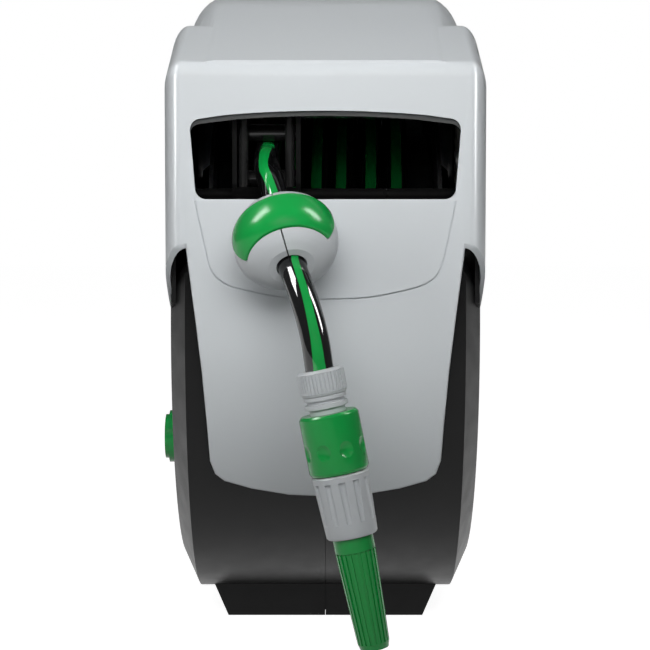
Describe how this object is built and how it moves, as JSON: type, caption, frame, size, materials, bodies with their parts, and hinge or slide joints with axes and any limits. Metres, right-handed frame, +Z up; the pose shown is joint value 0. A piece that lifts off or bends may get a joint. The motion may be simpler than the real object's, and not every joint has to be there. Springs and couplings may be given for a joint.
{
  "type": "retractable hose reel",
  "caption": "Wall-hung garden hose reel: round case on a swivel bracket, spring-wound drum, hose guide, stop ball and a hose-end nozzle on quick connectors.",
  "frame": {"origin": "centre of the wall plate's back face", "axes": "+Z up, +Y into the wall, -Y the way the hose leaves, +X to the right seen from the front"},
  "size_m": [0.2256, 0.6609, 0.455],
  "materials": {
    "grey_plastic": "satin light grey moulding",
    "grey_fitting": "satin light grey",
    "black_plastic": "fine spark texture",
    "black_trim": "fine texture",
    "handle_grip": "ribbed soft grip",
    "green_plastic": "satin green moulding",
    "bracket_steel": "powder coated",
    "steel": "zinc plated",
    "spring_steel": "blued spring steel",
    "drum_plastic": "smooth black moulding",
    "gear_plastic": "natural acetal",
    "roller_plastic": "polished black",
    "brass": "turned",
    "hose": "glossy black with a green stripe",
    "seal_rubber": "smooth"
  },
  "bodies": {
    "bracket": {"wall_bracket": "bracket_steel", "swivel_rod": "steel", "rod_clip": "spring_steel"},
    "case": {"left_shell": "black_plastic", "right_shell": "black_plastic", "top_cover": "grey_plastic", "window_lining": "black_trim", "handle_tray": "black_trim", "handle_bar": "handle_grip", "swivel_column": "black_plastic", "column_screws": "steel", "case_screws": "steel", "axle": "steel", "axle_clips": "spring_steel", "guide_rail": "steel", "gear_pins": "steel", "pawl_pin": "steel", "pawl_spring": "spring_steel", "inlet_socket": "black_plastic", "inlet_elbow": "green_plastic", "inlet_spigot": "black_plastic", "feed_pipe": "steel"},
    "drum": {"drum_hub": "drum_plastic", "left_flange": "drum_plastic", "right_flange": "drum_plastic", "flange_screws": "steel", "ratchet_ring": "drum_plastic", "drum_gear": "drum_plastic", "spring_case": "spring_steel", "power_spring": "spring_steel", "hose_barb": "brass", "hose_inner_layers": "hose", "hose_outer_layer": "hose"},
    "lower_idler": {"idler_gear_lower": "gear_plastic"},
    "upper_idler": {"idler_gear_upper": "gear_plastic"},
    "crossed_shaft": {"traverse_shaft": "steel", "traverse_pinion": "gear_plastic"},
    "carriage": {"guide_carriage": "drum_plastic", "thread_follower": "steel", "hose_lead": "hose", "hose_free": "hose", "stop_ball_left": "grey_plastic", "stop_ball_right": "grey_plastic", "stop_ball_band": "green_plastic", "ball_screws": "steel", "hose_nut": "grey_fitting", "connector_body": "grey_fitting"},
    "left_roller": {"roller_left": "roller_plastic"},
    "right_roller": {"roller_right": "roller_plastic"},
    "top_roller": {"roller_top": "roller_plastic"},
    "bottom_roller": {"roller_bottom": "roller_plastic"},
    "collar": {"release_collar": "green_plastic"},
    "grip": {"nozzle_grip": "grey_fitting", "nozzle_seal": "seal_rubber"},
    "barrel": {"nozzle_barrel": "green_plastic"},
    "pawl": {"lock_pawl": "steel"}
  },
  "joints": [
    {"name": "case_swivel", "type": "hinge", "parent": "bracket", "child": "case", "pos_m": [0, -0.125, 0], "axis": [0, 0, 1], "range_deg": [-90, 90]},
    {"name": "drum_spin", "type": "hinge", "parent": "case", "child": "drum", "pos_m": [0, -0.341, 0], "axis": [1, 0, 0], "continuous": true, "deforming": ["power_spring", "hose_lead"]},
    {"name": "lower_idler_spin", "type": "hinge", "parent": "case", "child": "lower_idler", "pos_m": [0, -0.39353, 0.04924], "axis": [1, 0, 0], "continuous": true},
    {"name": "upper_idler_spin", "type": "hinge", "parent": "case", "child": "upper_idler", "pos_m": [0, -0.4455, 0.11713], "axis": [1, 0, 0], "continuous": true},
    {"name": "crossed_shaft_spin", "type": "hinge", "parent": "case", "child": "crossed_shaft", "pos_m": [0, -0.501, 0.15], "axis": [1, 0, 0], "continuous": true},
    {"name": "guide_slide", "type": "slide", "parent": "case", "child": "carriage", "axis": [1, 0, 0], "range_m": [-0.022, 0.096], "deforming": ["hose_lead"]},
    {"name": "left_roller_spin", "type": "hinge", "parent": "carriage", "child": "left_roller", "pos_m": [-0.053, -0.528, 0.12], "axis": [0, 0, 1], "continuous": true},
    {"name": "right_roller_spin", "type": "hinge", "parent": "carriage", "child": "right_roller", "pos_m": [-0.023, -0.528, 0.12], "axis": [0, 0, 1], "continuous": true},
    {"name": "top_roller_spin", "type": "hinge", "parent": "carriage", "child": "top_roller", "pos_m": [-0.038, -0.513, 0.1332], "axis": [1, 0, 0], "continuous": true},
    {"name": "bottom_roller_spin", "type": "hinge", "parent": "carriage", "child": "bottom_roller", "pos_m": [-0.038, -0.513, 0.1038], "axis": [1, 0, 0], "continuous": true},
    {"name": "collar_pull", "type": "slide", "parent": "carriage", "child": "collar", "axis": [-0.1942, 0.0209, 0.9807], "range_m": [0, 0.003], "stiffness_N_per_m": 800, "springref_m": -0.001},
    {"name": "nozzle_swivel", "type": "hinge", "parent": "carriage", "child": "grip", "pos_m": [-0.0036, -0.6416, -0.0098], "axis": [0.1942, -0.0209, -0.9807], "continuous": true},
    {"name": "nozzle_twist", "type": "hinge", "parent": "grip", "child": "barrel", "pos_m": [-0.0036, -0.6416, -0.0098], "axis": [0.1942, -0.0209, -0.9807], "range_deg": [0, 540]},
    {"name": "pawl_swing", "type": "hinge", "parent": "case", "child": "pawl", "pos_m": [0, -0.281, -0.03], "axis": [1, 0, 0], "range_deg": [0, 14], "stiffness_Nm_per_rad": 0.02, "springref_deg": -11.46}
  ],
  "couplings": [
    {"joint": "lower_idler_spin", "follows": "drum_spin", "ratio": -0.71429},
    {"joint": "upper_idler_spin", "follows": "drum_spin", "ratio": 0.68966},
    {"joint": "crossed_shaft_spin", "follows": "drum_spin", "ratio": -1.4286}
  ]
}
